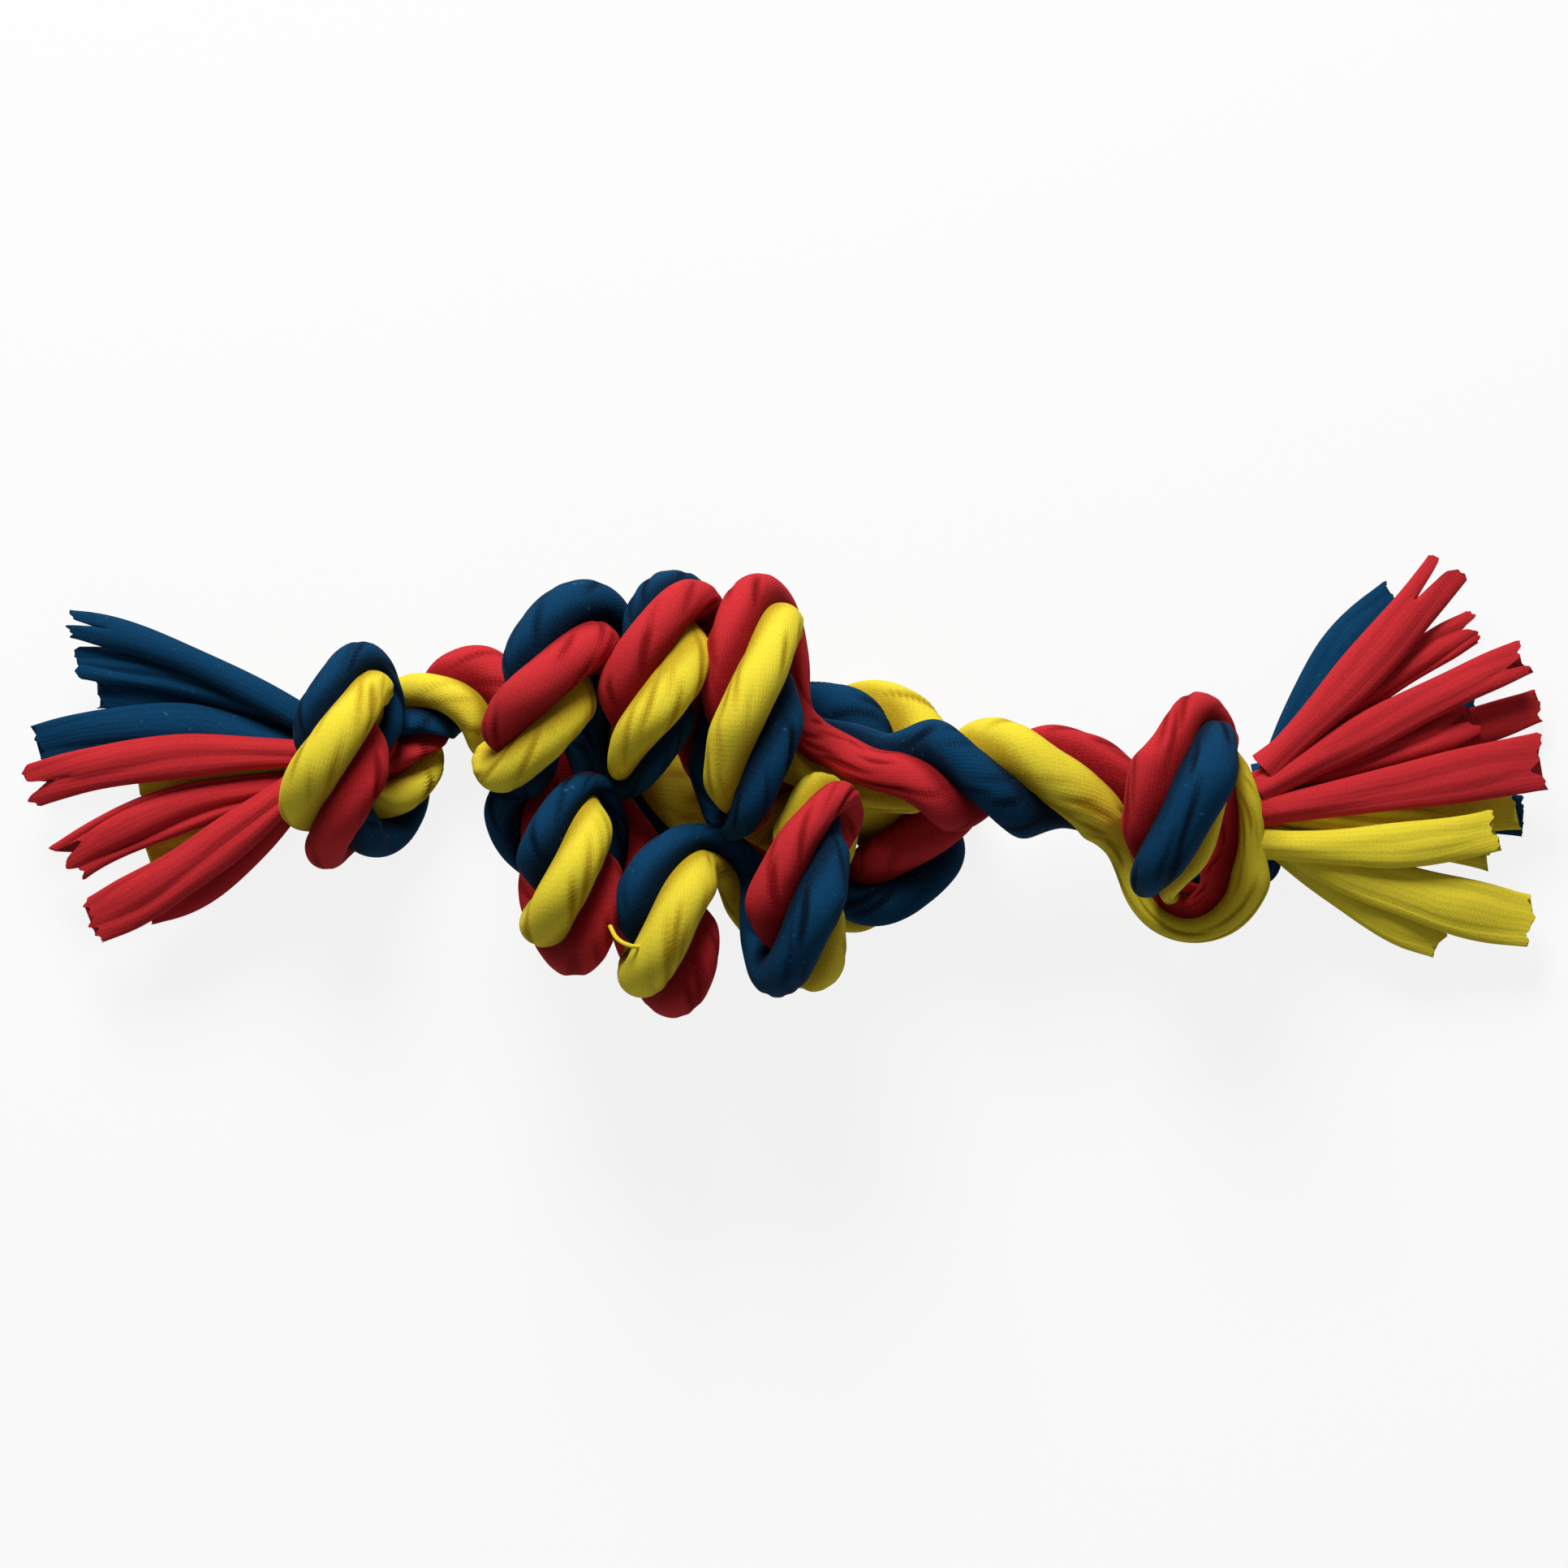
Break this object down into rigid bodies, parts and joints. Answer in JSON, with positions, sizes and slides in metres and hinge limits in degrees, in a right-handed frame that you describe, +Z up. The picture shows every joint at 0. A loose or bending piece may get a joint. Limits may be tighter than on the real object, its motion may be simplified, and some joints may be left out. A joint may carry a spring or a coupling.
{
  "type": "rope dog toy",
  "caption": "Knotted rope dog toy of laid jersey strands in blue, red and yellow, with a big centre knot, an overhand knot near each end and cut tassels.",
  "frame": {"origin": "centre of the bounding box on the floor that the toy lies on", "axes": "+X along the toy from the left tassel to the right one, +Y across it, +Z up from the floor through the knots"},
  "size_m": [0.3026, 0.0915, 0.0586],
  "materials": {
    "red_jersey": "matte knitted jersey",
    "blue_jersey": "matte knitted jersey",
    "yellow_jersey": "matte knitted jersey"
  },
  "bodies": {
    "centre_knot": {"centre_knot_red": "red_jersey", "centre_knot_blue": "blue_jersey", "centre_knot_yellow": "yellow_jersey"},
    "left_neck": {"left_neck_red": "red_jersey", "left_neck_blue": "blue_jersey", "left_neck_yellow": "yellow_jersey"},
    "left_knot": {"left_knot_red": "red_jersey", "left_knot_blue": "blue_jersey", "left_knot_yellow": "yellow_jersey"},
    "right_neck": {"right_neck_red": "red_jersey", "right_neck_blue": "blue_jersey", "right_neck_yellow": "yellow_jersey"},
    "right_knot": {"right_knot_red": "red_jersey", "right_knot_blue": "blue_jersey", "right_knot_yellow": "yellow_jersey"},
    "left_red_strips": {"left_strip_red_1": "red_jersey", "left_strip_red_2": "red_jersey", "left_strip_red_3": "red_jersey", "left_strip_red_4": "red_jersey"},
    "left_blue_strips": {"left_strip_blue_1": "blue_jersey", "left_strip_blue_2": "blue_jersey", "left_strip_blue_3": "blue_jersey", "left_strip_blue_4": "blue_jersey", "left_strip_blue_5": "blue_jersey"},
    "left_yellow_strips": {"left_strip_yellow_1": "yellow_jersey", "left_strip_yellow_2": "yellow_jersey", "left_strip_yellow_3": "yellow_jersey"},
    "right_red_strips": {"right_strip_red_1": "red_jersey", "right_strip_red_2": "red_jersey", "right_strip_red_3": "red_jersey", "right_strip_red_4": "red_jersey", "right_strip_red_5": "red_jersey", "right_strip_red_6": "red_jersey"},
    "right_blue_strips": {"right_strip_blue_1": "blue_jersey", "right_strip_blue_2": "blue_jersey", "right_strip_blue_3": "blue_jersey"},
    "right_yellow_strips": {"right_strip_yellow_1": "yellow_jersey", "right_strip_yellow_2": "yellow_jersey", "right_strip_yellow_3": "yellow_jersey", "right_strip_yellow_4": "yellow_jersey", "right_strip_yellow_5": "yellow_jersey"}
  },
  "joints": [
    {"name": "left_neck_swing", "type": "hinge", "parent": "centre_knot", "child": "left_neck", "pos_m": [-0.05958, 0.01663, 0.01162], "axis": [0, 0, 1], "range_deg": [-20, 12], "deforming": ["left_neck_red", "left_neck_blue", "left_neck_yellow"]},
    {"name": "left_knot_lift", "type": "hinge", "parent": "left_neck", "child": "left_knot", "pos_m": [-0.0749, 0.00955, 0.00978], "axis": [0, 1, 0], "range_deg": [0, 14], "deforming": ["left_neck_red", "left_neck_blue", "left_neck_yellow"]},
    {"name": "right_neck_swing", "type": "hinge", "parent": "centre_knot", "child": "right_neck", "pos_m": [0.02764, 0.00229, 0.03157], "axis": [0, 0, 1], "range_deg": [-20, 20], "deforming": ["right_neck_red", "right_neck_blue", "right_neck_yellow"]},
    {"name": "right_knot_lift", "type": "hinge", "parent": "right_neck", "child": "right_knot", "pos_m": [0.06064, -0.00232, 0.02327], "axis": [0, -1, 0], "range_deg": [0, 25], "deforming": ["right_neck_red", "right_neck_blue", "right_neck_yellow"]},
    {"name": "left_red_swing", "type": "hinge", "parent": "left_knot", "child": "left_red_strips", "pos_m": [-0.0978, 0.005, 0.01755], "axis": [0, 0, 1], "range_deg": [-8, 15], "deforming": ["left_strip_red_1", "left_strip_red_2", "left_strip_red_3", "left_strip_red_4"]},
    {"name": "left_blue_swing", "type": "hinge", "parent": "left_knot", "child": "left_blue_strips", "pos_m": [-0.0978, 0.005, 0.01755], "axis": [0, 0, 1], "range_deg": [-15, 8], "deforming": ["left_strip_blue_1", "left_strip_blue_2", "left_strip_blue_3", "left_strip_blue_4", "left_strip_blue_5"]},
    {"name": "left_yellow_swing", "type": "hinge", "parent": "left_knot", "child": "left_yellow_strips", "pos_m": [-0.0978, 0.005, 0.01755], "axis": [0, 0, 1], "range_deg": [-8, 8], "deforming": ["left_strip_yellow_1", "left_strip_yellow_2", "left_strip_yellow_3"]},
    {"name": "right_red_swing", "type": "hinge", "parent": "right_knot", "child": "right_red_strips", "pos_m": [0.0989, -0.0014, 0.01555], "axis": [0, 0, 1], "range_deg": [-8, 15], "deforming": ["right_strip_red_1", "right_strip_red_2", "right_strip_red_3", "right_strip_red_4", "right_strip_red_5", "right_strip_red_6"]},
    {"name": "right_blue_swing", "type": "hinge", "parent": "right_knot", "child": "right_blue_strips", "pos_m": [0.0989, -0.0014, 0.01555], "axis": [0, 0, 1], "range_deg": [-8, 8], "deforming": ["right_strip_blue_1", "right_strip_blue_2", "right_strip_blue_3"]},
    {"name": "right_yellow_swing", "type": "hinge", "parent": "right_knot", "child": "right_yellow_strips", "pos_m": [0.0989, -0.0014, 0.01555], "axis": [0, 0, 1], "range_deg": [-15, 8], "deforming": ["right_strip_yellow_1", "right_strip_yellow_2", "right_strip_yellow_3", "right_strip_yellow_4", "right_strip_yellow_5"]}
  ]
}
